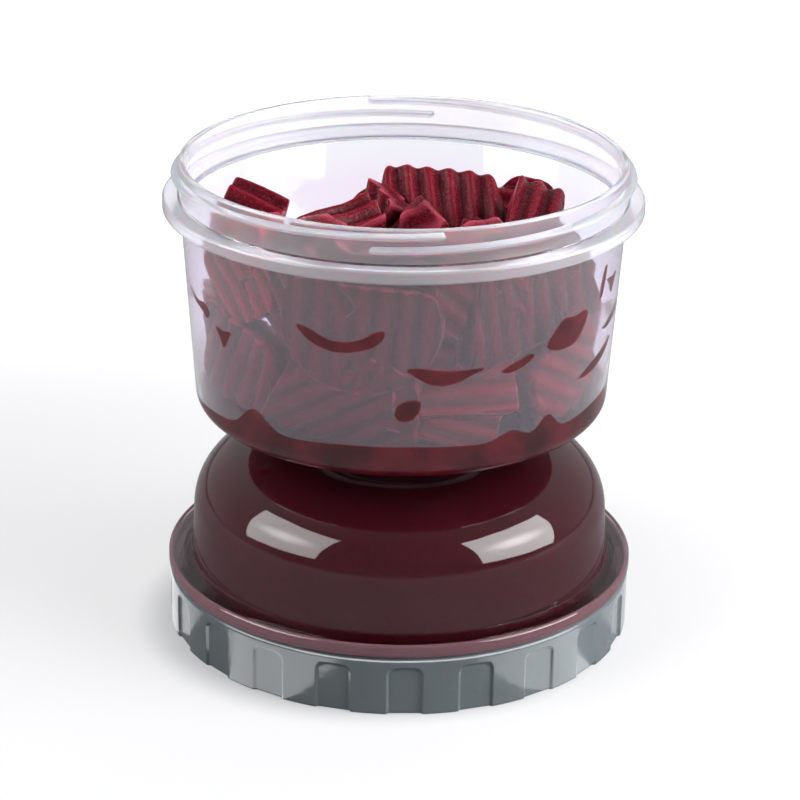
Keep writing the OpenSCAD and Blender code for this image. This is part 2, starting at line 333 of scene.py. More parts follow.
def gripped(angles, radii, heights):
    """The lid's skirt, sunk to a flat where a finger grip lies."""
    z = heights[0]
    slack = 0.01
    if radii[0] < lid_r - foot_round - slack or z > grip_top + grip_clear:
        return radii, heights
    pitch = 2 * math.pi / grip_count
    first = math.radians(grip_turn - 90)
    across = np.abs((angles - first + pitch / 2) % pitch - pitch / 2) * lid_r
    beyond_x = np.maximum(across - grip_half + grip_corner, 0)
    beyond_z = max(z - grip_top + grip_corner, 0)
    inside = grip_corner - np.hypot(beyond_x, beyond_z)
    flat = (grip_half ** 2 / 3 - across ** 2) / (2 * lid_r)
    return radii - (grip_depth + flat) * smooth_step(inside / grip_edge), heights


# Columns crowd at the grips' two edges and rows at their upper corners.
edge_steps = np.array([-0.95, -0.8, -0.65, -0.5, -0.4, -0.3, -0.15, 0, 0.15])
grip_columns = np.concatenate([[0, 1.4, 2.5, 3.4], grip_half + edge_steps, [5.9, 6.9, 8.0, 9.0]])
grip_columns = np.concatenate([-grip_columns[:0:-1], grip_columns])
lid_angles = np.sort(np.concatenate([
    math.radians(grip_turn - 90) + (2 * math.pi * i / grip_count) + grip_columns / lid_r
    for i in range(grip_count)]))
coarse_rows = np.linspace(1.2, 10.2, 8)
fine_rows = np.arange(10.5, lid_top - lid_round, 0.22)

# Grey polypropylene from a polished mould: glossy, with the faint sink and ripple of moulded walls.
grey_polypropylene, tree = new_material("polypropylene_grey_gloss")
place = add(tree, "TexCoord", {})
ripple_mm = 6
ripple = add(tree, "TexNoise", {"Vector": place.outputs["Object"], "Scale": 1 / (ripple_mm * mm),
                                "Detail": 2.0})
cloud_mm = 14
cloud = add(tree, "TexNoise", {"Vector": place.outputs["Object"], "Scale": 1 / (cloud_mm * mm),
                               "Detail": 4.0})
shade = add(tree, "MixRGB", {"Fac": cloud.outputs["Fac"], "Color1": linear("#42484B"),
                             "Color2": linear("#4C5255")})
gloss = add(tree, "MapRange", {"Value": cloud.outputs["Fac"], "To Min": 0.14, "To Max": 0.22})
relief = add(tree, "Bump", {"Height": ripple.outputs["Fac"], "Strength": 0.7, "Distance": 0.3 * mm})
plastic = add(tree, "BsdfPrincipled", {"Base Color": shade.outputs["Color"], "IOR": 1.49,
                                       "Roughness": gloss.outputs["Result"],
                                       "Normal": relief.outputs["Normal"]})
add(tree, "OutputMaterial", {"Surface": plastic.outputs[0]})

lid = turned("screw_lid", [
    (0, [(0, panel_low), (foot_in_r - panel_chamfer, panel_low), (foot_in_r, panel_low - panel_chamfer)]),
    (0, [(foot_in_r, small_edge), (foot_in_r + small_edge, 0)]),
    (0, arc(lid_r - foot_round, foot_round, foot_round, -90, 0)),
    (0, [(lid_r, z) for z in (*coarse_rows, *fine_rows)]),
    (0, arc(lid_r - lid_round, lid_top - lid_round, lid_round, 0, 90)),
    (0, arc(lid_in_r + small_edge, lid_top - small_edge, small_edge, 90, 180, 4)),
    (0, [(lid_in_r, panel_top), (bead_out_r, panel_top), (bead_out_r, bead_top), (bead_in_r, bead_top)]),
    (0, [(bead_in_r, panel_top), (0, panel_top)]),
], [grey_polypropylene], lid_angles, gripped)

# Two starts of a right-hand thread, between the ridges of the cup's rim.
rim_lead = 7.2
rim_sweep = 198
rim_drop = 1.6
ridge_turn = 82
starts = (0, 180)
lower_mouth = 7.4
lid_thread_r = 60.9
lid_ridge = (1.4, 0.7)
fuse(lid, [ridge(lid_in_r, lid_thread_r, lid_ridge, rim_lead, rim_sweep, rim_drop, ridge_turn + 90 + start,
                 lower_mouth, True, [grey_polypropylene]) for start in starts])
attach(lid, "lid")
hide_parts("lower_lid")

# A strip light over the camera falls on the lid alone, and draws a line along its round top edge.
strip_spot = (0, -1.2, 0.62)
strip_size = (2.6, 1.0)
strip_power = 92.0
lid_lamps = [soft_light("front_strip", strip_spot, jar_middle, (1, 0, 0), strip_size, strip_power)]

# Two white cards on the table at each side show only in the gloss of the lid's skirt. Each card: its side,
# its middle, its width and length, and its power.
card_z = 0.0005
for side, x, y, width, length, power in (
        (-1, 0.059, -0.0705, 0.058, 0.049, 0.035), (-1, 0.086, 0.012, 0.048, 0.07, 0.014),
        (1, 0.069, -0.059, 0.06, 0.046, 0.025), (1, 0.086, 0.015, 0.048, 0.064, 0.006)):
    spot = Vector((side * x, y, card_z))
    over = spot + Vector((0, 0, 1))
    lid_lamps.append(soft_light("table_card", spot, over, (1, 0, 0), (width, length), power))
lid_alone = bpy.data.collections.new("lid_alone")
lid_alone.objects.link(lid)
for lamp in lid_lamps:
    lamp.light_linking.receiver_collection = lid_alone
    lamp.visible_diffuse = lamp.visible_transmission = False

# Lid seal
# A flat ring of moulded white silicone that lies in the lid's channel, where the cup's mouth presses on it.
# Nothing but its fit holds it there, so it lifts out for washing.

# Moulded silicone: soft, matt and a little see-through at its edges. Its fine grit is drawn coarser than the
# real one, so that it shows.
white_silicone, tree = new_material("silicone_white_matt")
place = add(tree, "TexCoord", {})
grit_mm = 0.6
grit = add(tree, "TexNoise", {"Vector": place.outputs["Object"], "Scale": 1 / (grit_mm * mm), "Detail": 2.0})
shade = add(tree, "MixRGB", {"Fac": grit.outputs["Fac"], "Color1": linear("#D9DBDC"),
                             "Color2": linear("#E6E7E7")})
relief = add(tree, "Bump", {"Height": grit.outputs["Fac"], "Strength": 0.15, "Distance": 0.1 * mm})
rubber = add(tree, "BsdfPrincipled", {"Base Color": shade.outputs["Color"], "Roughness": 0.55, "IOR": 1.41,
                                      "Subsurface Weight": 0.3, "Subsurface Scale": 1.5 * mm,
                                      "Normal": relief.outputs["Normal"]})
add(tree, "OutputMaterial", {"Surface": rubber.outputs[0]})
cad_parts["lower_lid_seal"].material_slots[0].material = white_silicone

# Lower cup
# The squat cup that holds the drained brine, mouth down in the lid, with a round shoulder and a threaded
# neck. Clear polypropylene, moulded with a polished outside and a slightly matt inside.
cup_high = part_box("lower_cup")[1]
flange_r = cup_high.x / mm
neck_top = cup_high.z / mm
rim_r = 60.5
rim_in_r = 58.6
rim_round = 0.6
rim_tip_r = 62.6
rim_ridge = (2.2, 1.2)
flange_round = 0.9
flange_low = 16.85
flange_high = 20.55
cup_wall = 1.6
cup_draft = 3.4
shoulder_r = 17.0
shoulder_at = (40.71, 33.27)
crown_r = 27.0
crown_at = (33.64, 26.2)
crown_z = crown_at[1] + crown_r
neck_r = 22.0
bore_r = 19.6
neck_tip_r = 23.4
neck_ridge = (1.7, 0.9)
waist_lead = 6.0
waist_sweep = 190
waist_drop = 1.3
root_chamfer = 0.4
arc_steps = 24

# The outside of both cups: glossy and clear, with faint flow ripple from the mould.
clear_polypropylene, tree = new_material("polypropylene_clear_gloss")
place = add(tree, "TexCoord", {})
flow_mm = 12
flow = add(tree, "TexNoise", {"Vector": place.outputs["Object"], "Scale": 1 / (flow_mm * mm), "Detail": 1.5})
relief = add(tree, "Bump", {"Height": flow.outputs["Fac"], "Strength": 0.08, "Distance": 0.2 * mm})
plastic = add(tree, "BsdfPrincipled", {"Base Color": linear("#FAFAFB"), "IOR": 1.49, "Roughness": 0.03,
                                       "Transmission Weight": 1.0, "Normal": relief.outputs["Normal"]})
add(tree, "OutputMaterial", {"Surface": plastic.outputs[0]})

# The inside of both cups: the same plastic off a finely blasted core, which gives it a milky veil. Its specks
# are drawn coarser than the real ones, so that they show. Up to where the beetroot stands it has taken a
# faint pink stain.
milky_polypropylene, tree = new_material("polypropylene_clear_matt_inside")
place = add(tree, "TexCoord", {})
axes = add(tree, "SeparateXYZ", {"Vector": place.outputs["Object"]})
stain_top = 122 * mm
stain_fade = 14 * mm
stain = add(tree, "MapRange", {"Value": axes.outputs["Z"], "From Min": stain_top - stain_fade,
                               "From Max": stain_top, "To Min": 1.0, "To Max": 0.0},
            interpolation_type="SMOOTHSTEP")
shade = add(tree, "MixRGB", {"Fac": stain.outputs["Result"], "Color1": linear("#EEEFF8"),
                             "Color2": linear("#E9DCF4")})
speck_mm = 0.9
speck = add(tree, "TexNoise", {"Vector": place.outputs["Object"], "Scale": 1 / (speck_mm * mm),
                               "Detail": 3.0})
bloom = add(tree, "MapRange", {"Value": speck.outputs["Fac"], "To Min": 0.05, "To Max": 0.11})
plastic = add(tree, "BsdfPrincipled", {"Base Color": shade.outputs["Color"], "IOR": 1.49,
                                       "Roughness": bloom.outputs["Result"], "Transmission Weight": 0.915})
add(tree, "OutputMaterial", {"Surface": plastic.outputs[0]})

# Flanges, lips and threads: the same plastic where it is thick, so that it turns milky white.
thick_polypropylene, tree = new_material("polypropylene_clear_thick")
place = add(tree, "TexCoord", {})
cream_mm = 6
cream = add(tree, "TexNoise", {"Vector": place.outputs["Object"], "Scale": 1 / (cream_mm * mm),
                               "Detail": 2.0})
bloom = add(tree, "MapRange", {"Value": cream.outputs["Fac"], "To Min": 0.05, "To Max": 0.12})
plastic = add(tree, "BsdfPrincipled", {"Base Color": linear("#F1F0F8"), "IOR": 1.49,
                                       "Roughness": bloom.outputs["Result"], "Transmission Weight": 0.76,
                                       "Subsurface Weight": 0.5, "Subsurface Scale": 3.0 * mm})
add(tree, "OutputMaterial", {"Surface": plastic.outputs[0]})

# The lower flange: as thick, and painted pink, as painted light from the red brine that shines through it
# from behind.
pink_polypropylene, tree = new_material("polypropylene_clear_thick_brine_glow_painted")
place = add(tree, "TexCoord", {})
cream = add(tree, "TexNoise", {"Vector": place.outputs["Object"], "Scale": 1 / (cream_mm * mm),
                               "Detail": 2.0})
shade = add(tree, "MixRGB", {"Fac": cream.outputs["Fac"], "Color1": linear("#C9919F"),
                             "Color2": linear("#D8AAB6")})
plastic = add(tree, "BsdfPrincipled", {"Base Color": shade.outputs["Color"], "IOR": 1.49, "Roughness": 0.06,
                                       "Transmission Weight": 0.84})
add(tree, "OutputMaterial", {"Surface": plastic.outputs[0]})

# The top of that flange: clear and glossy, and tinted by the same painted light of the brine.
tinted_polypropylene, tree = new_material("polypropylene_clear_gloss_brine_glow_painted")
plastic = add(tree, "BsdfPrincipled", {"Base Color": linear("#C49AA6"), "IOR": 1.49, "Roughness": 0.03,
                                       "Transmission Weight": 1.0})
add(tree, "OutputMaterial", {"Surface": plastic.outputs[0]})
cup_plastics = [clear_polypropylene, milky_polypropylene, tinted_polypropylene, pink_polypropylene]
bowl_plastics = [clear_polypropylene, milky_polypropylene, thick_polypropylene]


def flange_edge(low, high):
    """A flange's round edge between two heights."""
    centre = flange_r - flange_round
    lower_half = arc(centre, low + flange_round, flange_round, -90, 0)
    return lower_half + arc(centre, high - flange_round, flange_round, 0, 90)


def flange_root(r, z, way):
    """The small fillet between a flange's face and a wall that goes up or down from it."""
    return [(r + 0.5, z), (r + 0.15, z + way * 0.12), (r, z + way * 0.5)]


cup_top_r = rim_r - 2.0
lower_cup = turned("brine_cup", [
    (1, arc(rim_in_r + rim_round, lower_mouth + rim_round, rim_round, 180, 270)),
    (0, arc(rim_r - rim_round, lower_mouth + rim_round, rim_round, -90, 0) + [(rim_r, flange_low)]),
    (3, flange_edge(flange_low, flange_high)[:-1]),
    (2, flange_edge(flange_low, flange_high)[-1:]),
    (0, flange_root(cup_top_r, flange_high, 1)),
    (0, arc(*shoulder_at, shoulder_r, cup_draft, 45, arc_steps)),
    (0, arc(*crown_at, crown_r, 45, 90, arc_steps)[1:]),
    (0, [(neck_r + root_chamfer, crown_z), (neck_r, crown_z + root_chamfer)]),
    (0, [(neck_r, neck_top - small_edge), (neck_r - small_edge, neck_top)]),
    (1, [(bore_r + small_edge, neck_top), (bore_r, neck_top - small_edge), (bore_r, crown_z - cup_wall)]),
    (1, arc(*crown_at, crown_r - cup_wall, 90, 45, arc_steps)),
    (1, arc(*shoulder_at, shoulder_r - cup_wall, 45, cup_draft, arc_steps)[1:]),
    (1, [(cup_top_r - cup_wall, flange_high), (rim_in_r, flange_low)]),
], cup_plastics)
fuse(lower_cup, [ridge(rim_r, rim_tip_r, rim_ridge, rim_lead, rim_sweep, rim_drop, ridge_turn + start,
                       lower_mouth, True, cup_plastics) for start in starts]
     + [ridge(neck_r, neck_tip_r, neck_ridge, waist_lead, waist_sweep, waist_drop, start,
              neck_top, False, cup_plastics) for start in starts])
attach(lower_cup, "brine_cup")
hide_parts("lower_cup")

# Brine in the lower cup
# Beetroot brine that has drained down: it fills the cup up to the strainer and wets the wall all over.
# It is so dark that light goes a few millimetres into it, so it is made as a deep red body with fine haze.
beet_brine, tree = new_material("beetroot_brine")
place = add(tree, "TexCoord", {})
haze_mm = 22
haze = add(tree, "TexNoise", {"Vector": place.outputs["Object"], "Scale": 1 / (haze_mm * mm), "Detail": 3.0})
shade = add(tree, "MixRGB", {"Fac": haze.outputs["Fac"], "Color1": linear("#44121C"),
                             "Color2": linear("#4F1823")})
liquid = add(tree, "BsdfPrincipled", {"Base Color": shade.outputs["Color"], "Roughness": 0.08, "IOR": 1.34,
                                      "Specular IOR Level": 0.07, "Subsurface Weight": 1.0,
                                      "Subsurface Scale": 24.0 * mm, "Subsurface Radius": (1.0, 0.3, 0.35)})
add(tree, "OutputMaterial", {"Surface": liquid.outputs[0]})

wetting = 0.3
brine_wall = cup_wall - wetting
strainer_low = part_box("strainer")[0].z / mm
brine_low = lower_mouth + 0.4
brine_edge = neck_top - 0.6
brine_top = strainer_low - 0.1
lower_brine = turned("drained_brine", [
    (0, [(0, brine_low), (rim_in_r + wetting, brine_low), (rim_in_r + wetting, flange_low)]),
    (0, [(cup_top_r - brine_wall, flange_high)]),
    (0, arc(*shoulder_at, shoulder_r - brine_wall, cup_draft, 45, arc_steps)),
    (0, arc(*crown_at, crown_r - brine_wall, 45, 90, arc_steps)[1:]),
    (0, [(bore_r + wetting, crown_z - brine_wall), (bore_r + wetting, brine_edge)]),
    (0, [(bore_r, brine_top), (0, brine_top)]),
], [beet_brine])
lower_brine.data.set_sharp_from_angle(angle=sharp_edge)
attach(lower_brine, "brine_cup")

# Strainer seal
# A thin washer of the same white silicone, stamped flat, that lies on the end of the lower cup's neck.
# It keeps the brine from creeping out under the strainer.
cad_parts["strainer_seal"].material_slots[0].material = white_silicone

# Strainer
# A disc with rings of drain holes that holds the slices back, clamped in the waist between two washers.
# Moulded thin in natural polypropylene.

# Natural polypropylene, slightly matt, with a patchy pink stain from the brine.
stained_polypropylene, tree = new_material("polypropylene_natural_stained")
place = add(tree, "TexCoord", {})
stain_mm = 8
stain = add(tree, "TexNoise", {"Vector": place.outputs["Object"], "Scale": 1 / (stain_mm * mm),
                               "Detail": 4.0})
shade = add(tree, "MixRGB", {"Fac": stain.outputs["Fac"], "Color1": linear("#C7A3AC"),
                             "Color2": linear("#E2D3D8")})
plastic = add(tree, "BsdfPrincipled", {"Base Color": shade.outputs["Color"], "Roughness": 0.35, "IOR": 1.49,
                                       "Subsurface Weight": 0.25, "Subsurface Scale": 1.0 * mm})
add(tree, "OutputMaterial", {"Surface": plastic.outputs[0]})
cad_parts["strainer"].material_slots[0].material = stained_polypropylene

# Waist seal
# The second washer of white silicone, on top of the strainer's edge. The bowl's floor presses on it when the
# bowl is screwed down.
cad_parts["waist_seal"].material_slots[0].material = white_silicone

# Upper cup
# The deep bowl that the pickles stand in, with a sloping floor, a hole over the strainer, a threaded collar
# under it and a threaded rim with a round flange on top. The same clear polypropylene as the lower cup.
bowl_low, bowl_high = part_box("upper_cup")
mouth = bowl_high.z / mm
collar_low = bowl_low.z / mm
collar_r = 25.8
collar_in_r = 23.8
collar_thread_r = 22.4
collar_ridge = (0.95, 0.5)
seat = 62.6
bowl_draft = 3.85
bowl_flange_low = 120.87
bowl_flange_high = 124.57
bowl_top_r = rim_r - 0.3
fillet_r = 6.0
fillet_at = (50.73, 69.47)
floor_slope = 2.0


def bowl_floor(r, wall):
    """Height of the bowl's floor at a radius, that far inside its outer face."""
    edge_r = fillet_at[0] + fillet_r * math.sin(math.radians(floor_slope))
    rise = (fillet_r - wall) * math.cos(math.radians(floor_slope))
    return fillet_at[1] - rise - (edge_r - r) * math.tan(math.radians(floor_slope))


hole_top = bowl_floor(bore_r, cup_wall)
upper_cup = turned("pickle_bowl", [
    (0, [(collar_r - small_edge, collar_low), (collar_r, collar_low + small_edge)]),
    (0, [(collar_r, seat - root_chamfer), (collar_r + root_chamfer, seat)]),
    (0, arc(*fillet_at, fillet_r, floor_slope - 90, -bowl_draft, arc_steps)),
    (0, flange_root(bowl_top_r, bowl_flange_low, -1)[:0:-1]),
    (2, flange_root(bowl_top_r, bowl_flange_low, -1)[:1]),
    (2, flange_edge(bowl_flange_low, bowl_flange_high)),
    (0, [(rim_r + root_chamfer, bowl_flange_high), (rim_r, bowl_flange_high + root_chamfer)]),
    (2, arc(rim_r - rim_round, mouth - rim_round, rim_round, 0, 90)),
    (2, arc(rim_in_r + rim_round, mouth - rim_round, rim_round, 90, 180)),
    (1, [(rim_in_r, bowl_flange_high), (bowl_top_r - cup_wall, bowl_flange_low)]),
    (1, arc(*fillet_at, fillet_r - cup_wall, -bowl_draft, floor_slope - 90, arc_steps)),
    (1, [(bore_r + small_edge, hole_top), (bore_r, hole_top - small_edge)]),
    (0, [(bore_r, seat), (collar_in_r, seat)]),
    (0, [(collar_in_r, collar_low + small_edge), (collar_in_r + small_edge, collar_low)]),
], bowl_plastics)
fuse(upper_cup, [ridge(rim_r, rim_tip_r, rim_ridge, rim_lead, rim_sweep, rim_drop, ridge_turn + start,
                       mouth, False, bowl_plastics) for start in starts]
     + [ridge(collar_in_r, collar_thread_r, collar_ridge, waist_lead, waist_sweep, waist_drop, 90 + start,
              neck_top, False, bowl_plastics[:1]) for start in starts])
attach(upper_cup, "bowl")
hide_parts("upper_cup")

# Brine in the bowl
# What has not drained yet: a shallow pool on the bowl's floor that wets the wall unevenly, higher where a
# slice draws it up. It lies thinner than the brine in the cup below, so it looks a brighter red.
beet_juice, tree = new_material("beetroot_juice")
place = add(tree, "TexCoord", {})
cloud_mm = 10
cloud = add(tree, "TexNoise", {"Vector": place.outputs["Object"], "Scale": 1 / (cloud_mm * mm),
                               "Detail": 4.0})
depth = add(tree, "MapRange", {"Value": cloud.outputs["Fac"], "From Min": 0.35, "From Max": 0.65})
shade = add(tree, "MixRGB", {"Fac": depth.outputs["Result"], "Color1": linear("#3E0812"),
                             "Color2": linear("#631221")})
liquid = add(tree, "BsdfPrincipled", {"Base Color": shade.outputs["Color"], "Roughness": 0.08, "IOR": 1.34,
                                      "Specular IOR Level": 0.07, "Subsurface Weight": 0.7,
                                      "Subsurface Scale": 6.0 * mm, "Subsurface Radius": (1.0, 0.12, 0.16)})
add(tree, "OutputMaterial", {"Surface": liquid.outputs[0]})

pool_low = seat + 0.4
pool_base = 69.0
pool_lip_width = 4
pool_steps = 480
pool_sharp = math.radians(50)
# The wet edge's round lip: shares of its height over the pool, and depths in from the wall in millimetres.
pool_lip = [(0.3, 0), (0.6, 0), (0.85, 0), (0.97, 0.1), (1.0, 0.35), (0.9, 0.7), (0.6, 0.9), (0.3, 1.2),
            (0.1, 1.9)]
# The wet edge's rises over the pool: direction and spread in degrees, and height in millimetres.
pool_rises = [(-90, 50, 3.6), (-133, 6, 6.0), (-59, 5, 3.0), (-47, 4, 5.0), (-12, 25, 4.0), (-172, 20, -1.0),
              (20, 12, 3.0), (62, 18, 5.0), (95, 7, 2.5), (128, 14, 4.0), (152, 6, 6.0)]


def bowl_wall(z, wall):
    """Radius of the bowl's wall at a height above its fillet, that far inside its outer face."""
    return bowl_top_r - wall - (bowl_flange_low - z) * math.tan(math.radians(bowl_draft))


def risen(angles, radii, heights):
    """The pool's edge, drawn up the wall by its rises. The outline gives it as one millimetre high."""
    share = heights[0] - pool_base
    if share <= 0:
        return radii, heights
    edge = np.full(len(angles), 1.0)
    for direction, spread, rise in pool_rises:
        off = (np.degrees(angles) - direction + 180) % 360 - 180
        edge += rise * np.exp(-(off / spread) ** 2)
    depth = bowl_wall(heights[0], brine_wall) - radii
    heights = pool_base + share * edge
    return bowl_wall(heights, brine_wall) - depth, heights


pool = turned("undrained_brine", [
    (0, [(0, pool_low), (bore_r, pool_low), (bore_r + wetting, bowl_floor(bore_r, brine_wall))]),
    (0, arc(*fillet_at, fillet_r - brine_wall, floor_slope - 90, -12, 16)),
    (0, [(bowl_wall(pool_base + share, brine_wall) - depth, pool_base + share) for share, depth in pool_lip]),
    (0, [(bowl_wall(pool_base, brine_wall) - pool_lip_width, pool_base), (0, pool_base)]),
], [beet_juice], np.linspace(0, 2 * math.pi, pool_steps, endpoint=False), risen)
pool.data.set_sharp_from_angle(angle=pool_sharp)
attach(pool, "bowl")

# Beetroot slices
# Cooked beetroot cut with a crinkle blade into slices and wedges about 8 mm thick, piled up in the bowl and
# wet with brine. The ones at the front and on top are placed one by one, the rest are dropped in and settle.
wave_pitch = 5.6
wave_height = 2.0
pressed_height = 0.9
column_step = 0.45
edge_round = 0.9
edge_thin = 0.16
chance = np.random.default_rng(7)

# Outlines of the cuts, as the directions in degrees and the distances in millimetres of their sides.
half_moon = [(-90, 9), (-15, 16), (20, 16), (55, 16), (90, 16), (125, 16), (160, 16), (195, 16)]
wedge = [(-60, 9), (-120, 9), (40, 16), (70, 17), (90, 18), (110, 17), (140, 16)]
block = [(0, 15), (88, 11), (182, 14), (271, 12)]
trapeze = [(10, 17), (80, 13), (165, 16), (268, 12)]
long_bar = [(0, 15), (92, 7.5), (180, 15), (272, 7.5)]
cuts = [half_moon, wedge, block, trapeze, long_bar]


def cut_outline(sides, turns, roundness=14):
    """Distance from the middle to a rounded outline in each direction."""
    total = sum(np.maximum(np.cos(turns - math.radians(a)), 0) ** roundness / d ** roundness
                for a, d in sides)
    return total ** (-1 / roundness)


def two_sides(outline, step):
    """Splits an anticlockwise outline into its low and high side, at steps that crowd at its ends."""
    outline = np.roll(outline, -np.argmin(outline[:, 0]), axis=0)
    far = np.argmax(outline[:, 0])
    low, high = outline[:far + 1], np.vstack([outline[far:], outline[:1]])[::-1]
    left, right = low[0, 0], low[-1, 0]
    ends = step * np.array([0.0, 0.2, 0.5, 1.0, 1.5])
    middle = np.arange(left + 2.4 * step, right - 2 * step, step)
    across = np.concatenate([left + ends, middle, right - ends[::-1]])
    return across, *(np.interp(across, np.maximum.accumulate(side[:, 0]), side[:, 1]) for side in (low, high))


# Once around a slice: the share of its half width and of its half thickness at each point.
face_shares = [0.985, 0.95, 0.85, 0.65, 0.4, 0.13, -0.13, -0.4, -0.65, -0.85, -0.95, -0.985]
slice_loop = [(share, 1 if abs(share) < 0.96 else 0.96) for share in face_shares]
slice_loop += [(-1.0, 0.82), (-1.0, 0.3), (-1.0, -0.3), (-1.0, -0.82)]
slice_loop += [(-share, -level) for share, level in slice_loop[:len(face_shares)]]
slice_loop += [(1.0, -0.82), (1.0, -0.3), (1.0, 0.3), (1.0, 0.82)]


def cut_slice(sides, thick, size, turn, height):
    """Points and faces of one crinkle-cut slice in its own frame, in millimetres, with its edges marked for a
    painted glint, and a wave shading that is one at its crests, for painted light and shade. Its waves run
    along
    Y and are that high, its faces look along Z, and its outline is turned by an angle in degrees."""
    turns = np.linspace(0, 2 * math.pi, 360, endpoint=False)
    reach = size * cut_outline([(a, d * chance.uniform(0.93, 1.07)) for a, d in sides], turns)
    turns = turns + math.radians(turn)
    x, low, high = two_sides(np.column_stack([reach * np.cos(turns), reach * np.sin(turns)]), column_step)
    share, level = (np.array(column)[None, :] for column in zip(*slice_loop))
    to_end = np.minimum(x - x[0], x[-1] - x)
    thin = 1 - edge_thin * (1 - smooth_step(to_end / edge_round))[:, None]
    wave = np.cos(math.pi * x / wave_pitch + chance.uniform(0, math.pi)) ** 2
    y = ((low + high) / 2)[:, None] + ((high - low) / 2)[:, None] * share
    x = x[:, None] + 0 * share
    z = level * thin * thick / 2 + height * (wave ** 0.9 - 0.5)[:, None]
    # Cooking and cutting leave the faces a little uneven.
    for length, depth in ((30, 0.25), (13, 0.1), (5, 0.05), (2.4, 0.04)):
        for _ in range(3):
            way, phase = chance.uniform(0, 2 * math.pi, 2)
            along = x * math.cos(way) + y * math.sin(way)
            z = z + depth * np.sin(2 * math.pi * along / length + phase + level)
    edges = ((np.abs(share) > 0.98) & (np.abs(level) > 0.8)) | (to_end < 0.1)[:, None]
    # The wave shading: one at the crests, for painted light there and painted shade in the valleys.
    crests = 0.5 + (wave[:, None] - 0.5) * level
    points = np.column_stack([x.ravel(), y.ravel(), z.ravel()])
    return points, skin(len(x), len(slice_loop)), edges.ravel(), crests.ravel()


def set_pose(centre, facing, spin):
    """A slice's place: its centre in millimetres, the way its face looks, and its spin in degrees."""
    look = Vector(facing).to_track_quat("Z", "Y").to_matrix().to_4x4()
    return Matrix.Translation(centre) @ look @ Matrix.Rotation(math.radians(spin), 4, "Z")


def at_wall(direction, z, gap, lean, spin):
    """The place of a slice that leans on the bowl's wall, with its middle that far from the wall."""
    turn = math.radians(direction)
    tilt = math.radians(lean)
    r = bowl_wall(z, cup_wall) - gap
    out = (math.cos(turn) * math.cos(tilt), math.sin(turn) * math.cos(tilt), math.sin(tilt))
    return set_pose((r * math.cos(turn), r * math.sin(turn), z), out, spin)


# Each slice: its outline, thickness and size, the turn of its outline against its waves, and where it lies.
placed = [
    (half_moon, 8, 1.25, 180, at_wall(-101, 107, 7, -4, -4)),
    (trapeze, 8, 1.15, 45, at_wall(-106, 84, 7, -8, -58)),
    (block, 8, 1.15, 90, at_wall(-73, 91, 7, 30, 88)),
    (wedge, 8, 1.0, 30, at_wall(-137, 112, 7, -10, 30)),
    (block, 8, 1.1, 20, at_wall(-145, 88, 7, -5, -30)),
    (trapeze, 8, 1.2, 0, at_wall(-50, 110, 7, -4, 15)),
    (wedge, 8, 1.0, 200, at_wall(-40, 86, 7, -8, 60)),
    (long_bar, 8, 1.0, 90, at_wall(-76, 76, 8, 40, 70)),
    (block, 8, 0.95, 10, at_wall(-122, 112, 9, -14, 25)),
    (trapeze, 8, 1.0, 30, at_wall(-86, 115, 13, -20, -20)),
    (half_moon, 8, 1.0, 60, at_wall(-64, 116, 10, -12, 50)),
    (half_moon, 8, 0.85, 20, at_wall(-115, 118, 10, -10, -30)),
    (block, 8, 1.0, 40, at_wall(-172, 104, 12, -8, 20)),
    (trapeze, 8, 1.1, 10, at_wall(-178, 83, 10, -6, 70)),
    (wedge, 8, 1.0, 80, at_wall(-15, 103, 12, -8, 40)),
    (block, 8, 1.1, 60, at_wall(-8, 82, 10, -6, 10)),
]
on_top = [
    (trapeze, 8, 1.0, 2, set_pose((9.5, -3, 118.2), (0.1, -0.7, 0.71), 0)),
    (long_bar, 8, 0.52, 90, set_pose((-38.5, -26, 127.5), (0.2, -0.5, 0.84), 50)),
    (long_bar, 8, 0.75, 90, set_pose((-17, -30, 123.5), (0.0, -0.35, 0.94), -60)),
    (block, 8, 0.72, 60, set_pose((-9, -12, 117.5), (-0.75, -0.4, 0.5), 20)),
    (wedge, 9, 0.9, 20, set_pose((-2, -21, 115), (-0.7, 0.3, 0.64), 60)),
    (half_moon, 8, 0.75, 0, set_pose((33, 2, 115), (0.2, -0.6, 0.75), 70)),
    (long_bar, 9, 0.9, 90, set_pose((34, -17, 120.5), (0.25, -0.4, 0.88), -40)),
    (block, 8, 0.9, 0, set_pose((19, -26, 113), (0.1, -0.4, 0.9), 50)),
]

# The rest of the heap settles as loose bodies, at a tenth of the size in millimetres to suit the solver.
# Gravity leans to the front, because the heap stands highest against the front wall.
cm = 0.1
dropped_count = 52
dropped_thick = 8
heap_lean = math.radians(22)
lean_start = 40
lean_frames = 20
pull = 60.0
guard_base = 66
guard_base_r = 45
guard_heel = 72
guard_top = 260
guard_gap = 0.9
guard_count = 48
drop_low = 88
drop_step = 3.6
drop_turn = 2.4
drop_reach = 26
golden_share = 0.618
settle_frames = 90
heap_front = 132.0
heap_fall = 0.4


def loose_body(name, points, faces, kind, shape):
    """An object of the settling, in its units."""
    mesh = bpy.data.meshes.new(name)
    mesh.from_pydata((np.asarray(points) * cm).tolist(), [], faces)
    body = bpy.data.objects.new(name, mesh)
    scene.collection.objects.link(body)
    bpy.context.view_layer.objects.active = body
    bpy.ops.rigidbody.object_add(type=kind)
    body.rigid_body.collision_shape = shape
    body.rigid_body.use_margin = True
    body.rigid_body.collision_margin = 0.02
    body.rigid_body.friction = 0.35
    body.rigid_body.restitution = 0.0
    return body


def plain_slice(sides, thick, size, turn):
    """A slice without its waves, for the settling."""
    turns = np.linspace(0, 2 * math.pi, 20, endpoint=False)
    reach = cut_outline(sides, turns) * size
    turns = turns + math.radians(turn)
    half = thick / 2 + pressed_height / 2
    return [(r * math.cos(t), r * math.sin(t), side * half) for side in (1, -1) for r, t in zip(reach, turns)]


